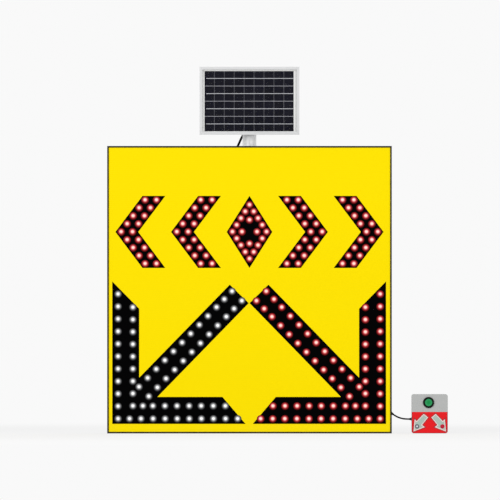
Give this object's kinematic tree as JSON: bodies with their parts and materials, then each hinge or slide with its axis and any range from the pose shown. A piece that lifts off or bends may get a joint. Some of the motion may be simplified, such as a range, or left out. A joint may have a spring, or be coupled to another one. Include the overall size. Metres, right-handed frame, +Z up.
{
  "type": "two-way arrow sign",
  "caption": "Square solar-powered traffic sign case with lit left and right arrows, a lit chevron band, a tilting solar panel on a rear post and a wired push-button box.",
  "frame": {"origin": "middle of the case's underside, at the case's width and depth centre", "axes": "+Z up, -Y is the way the lit face looks, +X to the right as seen from the front"},
  "size_m": [1.197, 0.1583, 1.289],
  "materials": {
    "dark_frame": "satin",
    "yellow_sheet": "satin",
    "black_film": "satin",
    "white_lens": "gloss",
    "red_lens": "gloss",
    "circuit_board": "satin",
    "light_emitter": "satin",
    "zinc_steel": "bright zinc",
    "galvanised_steel": "satin",
    "bare_aluminium": "satin",
    "black_rubber": "matt",
    "black_plastic": "satin",
    "battery_case": "satin",
    "controller_case": "satin",
    "lead_insulation": "satin",
    "panel_pane": "polished",
    "solar_cell": "gloss",
    "tinned_ribbon": "satin",
    "white_backsheet": "matt",
    "grey_plastic": "fine texture",
    "red_label": "satin",
    "bezel_plastic": "gloss",
    "green_cap": "gloss"
  },
  "bodies": {
    "case": {"arrow_boards": "circuit_board", "arrow_films": "black_film", "battery": "battery_case", "battery_strap": "zinc_steel", "battery_tray": "zinc_steel", "board_pillars": "zinc_steel", "board_screws": "zinc_steel", "button_bezel": "bezel_plastic", "button_spring": "zinc_steel", "cable_boots": "black_rubber", "charge_controller": "controller_case", "clamp_backing_plate": "zinc_steel", "clamp_bolts": "zinc_steel", "clamp_cradles": "galvanised_steel", "clamp_straps": "galvanised_steel", "control_box_cover": "grey_plastic", "control_box_shell": "grey_plastic", "control_cable": "black_rubber", "control_label": "red_label", "corner_cleats": "zinc_steel", "corner_screws": "zinc_steel", "cover_screws": "zinc_steel", "driver_board": "circuit_board", "face_panel": "yellow_sheet", "frame_crossbars": "dark_frame", "frame_uprights": "dark_frame", "indicator_holders": "black_plastic", "inner_leads": "lead_insulation", "led_emitters": "light_emitter", "lock_bolt": "zinc_steel", "m6_nuts": "zinc_steel", "m8_nuts": "zinc_steel", "marker_boards": "circuit_board", "marker_films": "black_film", "mounting_rails": "galvanised_steel", "panel_cable": "black_rubber", "panel_cable_gland": "black_plastic", "pivot_bolt": "zinc_steel", "post": "galvanised_steel", "post_caps": "black_plastic", "rail_bolts": "zinc_steel", "rear_gasket": "black_rubber", "rear_panel": "bare_aluminium", "rear_panel_screws": "zinc_steel", "red_indicator": "red_lens", "red_lenses": "red_lens", "selector_board": "circuit_board", "switch_block": "black_plastic", "white_indicator": "white_lens", "white_lenses": "white_lens"},
    "solar_panel": {"panel_frame": "bare_aluminium", "panel_glass": "panel_pane", "solar_cells": "solar_cell", "cell_ribbons": "tinned_ribbon", "panel_backsheet": "white_backsheet", "junction_box": "black_plastic", "panel_struts": "bare_aluminium", "tilt_yoke": "galvanised_steel", "strut_bolts": "zinc_steel"},
    "mode_button": {"button_cap": "green_cap"}
  },
  "joints": [
    {"name": "panel_tilt", "type": "hinge", "parent": "case", "child": "solar_panel", "pos_m": [0, 0.07, 1.1695], "axis": [-1, 0, 0], "range_deg": [0, 60], "deforming": ["panel_cable"]},
    {"name": "mode_button", "type": "slide", "parent": "case", "child": "mode_button", "axis": [0, 1, 0], "range_m": [0, 0.004], "stiffness_N_per_m": 500, "springref_m": -0.002, "deforming": ["button_spring"]}
  ]
}
